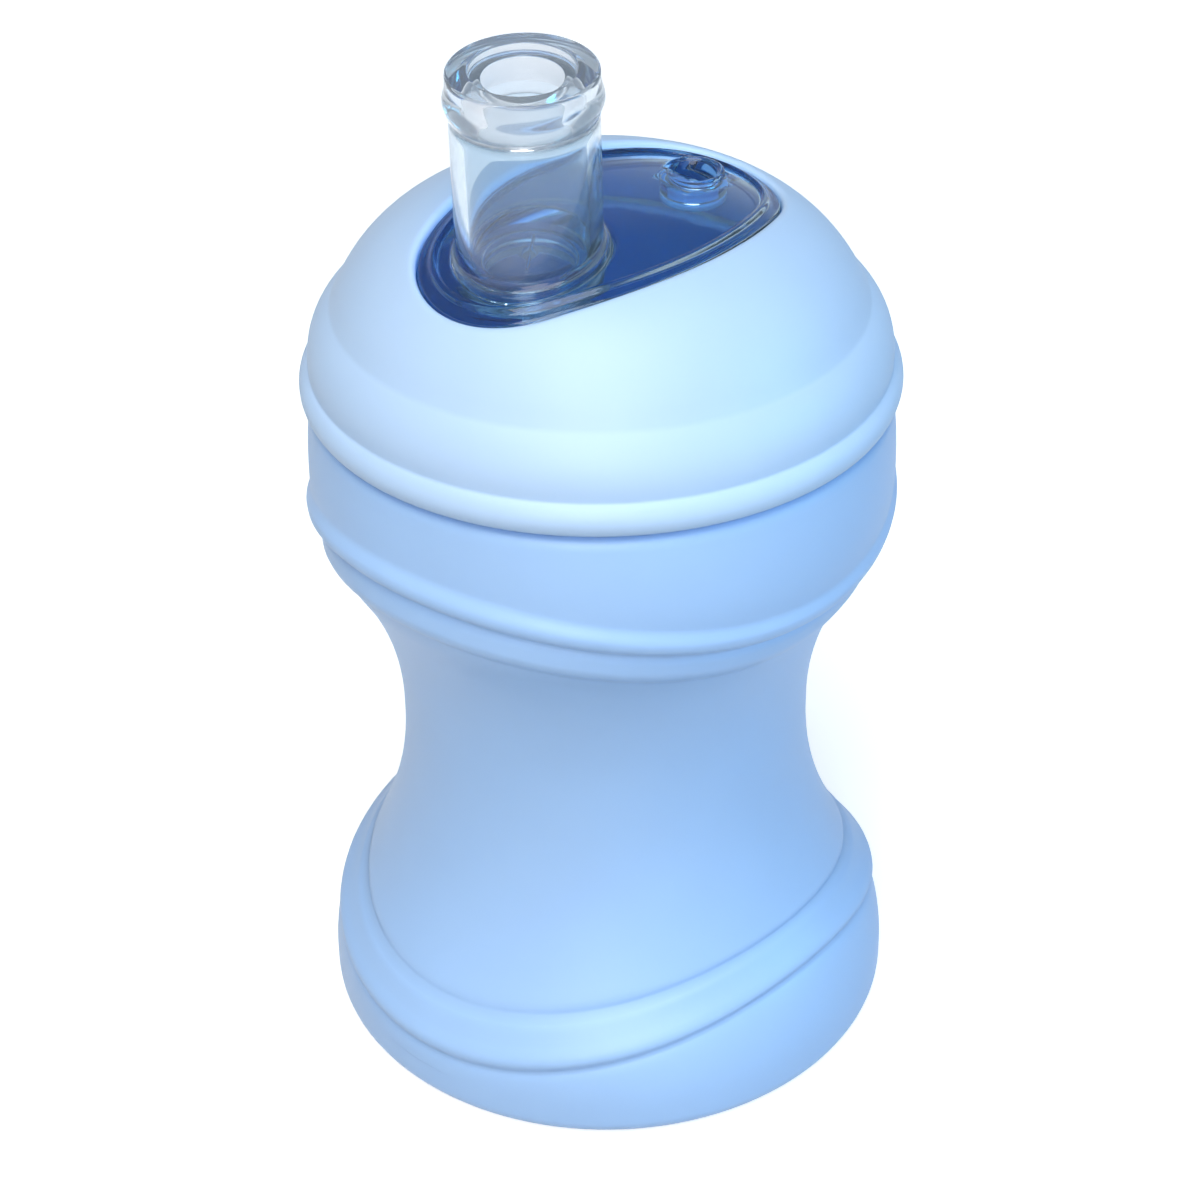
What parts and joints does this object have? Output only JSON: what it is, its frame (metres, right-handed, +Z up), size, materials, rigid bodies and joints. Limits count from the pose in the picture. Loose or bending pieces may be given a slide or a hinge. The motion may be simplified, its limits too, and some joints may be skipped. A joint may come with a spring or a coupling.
{
  "type": "sippy cup",
  "caption": "Hourglass toddler cup with a screw-on dome lid and a clear soft spout that leans out of an egg-shaped opening.",
  "frame": {"origin": "centre of the cup's flat underside, where the cup stands", "axes": "+Z up along the cup's own axis; seen from -Y the spout stands towards -Y and a little to -X, and the vent towards +X and +Y"},
  "size_m": [0.0798, 0.0796, 0.1458],
  "materials": {
    "cup_plastic": "satin",
    "lid_plastic": "satin",
    "seal_silicone": "matte",
    "clear_silicone": "clear glossy",
    "valve_silicone": "translucent satin"
  },
  "bodies": {
    "cup": {"cup_body": "cup_plastic"},
    "seal": {"lid_seal_ring": "seal_silicone"},
    "lid": {"screw_lid": "lid_plastic"},
    "spout": {"soft_spout": "clear_silicone", "spout_valve": "valve_silicone", "vent_valve": "valve_silicone"}
  },
  "joints": [
    {"name": "lid_rise", "type": "slide", "parent": "cup", "child": "seal", "axis": [0, 0, 1], "range_m": [0, 0.00405]},
    {"name": "lid_turn", "type": "hinge", "parent": "seal", "child": "lid", "pos_m": [0, 0, 0.1], "axis": [0, 0, 1], "range_deg": [0, 180]},
    {"name": "spout_push", "type": "slide", "parent": "lid", "child": "spout", "axis": [0, 0, -1], "range_m": [0, 0.006]}
  ],
  "couplings": [
    {"joint": "lid_rise", "follows": "lid_turn", "m_per_rad": 0.0012732}
  ]
}
